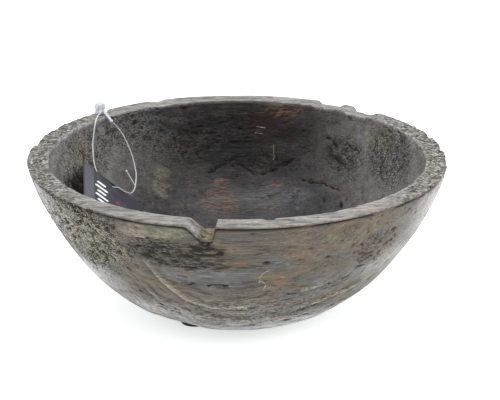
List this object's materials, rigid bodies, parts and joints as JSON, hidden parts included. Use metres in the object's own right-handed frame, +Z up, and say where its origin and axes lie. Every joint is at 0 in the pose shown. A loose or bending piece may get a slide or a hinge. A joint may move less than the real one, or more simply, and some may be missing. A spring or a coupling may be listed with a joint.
{
  "type": "carved wooden bowl",
  "caption": "Hand-carved oval wooden bowl with a notched rim on stick-on feet, with a hang tag on a nylon loop fastener lying inside.",
  "frame": {"origin": "on the standing surface, below the middle of the rim", "axes": "+X along the grain of the wood, the bowl's longest side; +Z up; -Y is the front, where the rim's notch is"},
  "size_m": [0.2824, 0.2752, 0.1169],
  "materials": {
    "carved_wood": "weathered grey-brown hand-carved hardwood, worn semi-matt",
    "foot_rubber": "matt black",
    "foot_adhesive": "pale foam adhesive",
    "tag_card": null,
    "nylon": "translucent natural nylon"
  },
  "bodies": {
    "bowl_body": {"bowl": "carved_wood", "foot_front": "foot_rubber", "foot_right": "foot_rubber", "foot_back": "foot_rubber", "foot_glue_front": "foot_adhesive", "foot_glue_right": "foot_adhesive", "foot_glue_back": "foot_adhesive"},
    "loop_body": {"loop_filament": "nylon", "loop_head": "nylon", "loop_plug": "nylon", "loop_stub": "nylon"},
    "tag_body": {"tag_card": "tag_card"}
  },
  "joints": [
    {"name": "tag_lift_out", "type": "slide", "parent": "bowl_body", "child": "loop_body", "axis": [0, 0, 1], "range_m": [0, 0.12]},
    {"name": "tag_swing", "type": "hinge", "parent": "loop_body", "child": "tag_body", "pos_m": [-0.0875, 0.037, 0.07], "axis": [-0.7432, -0.1311, 0.6561], "range_deg": [0, 20]}
  ]
}
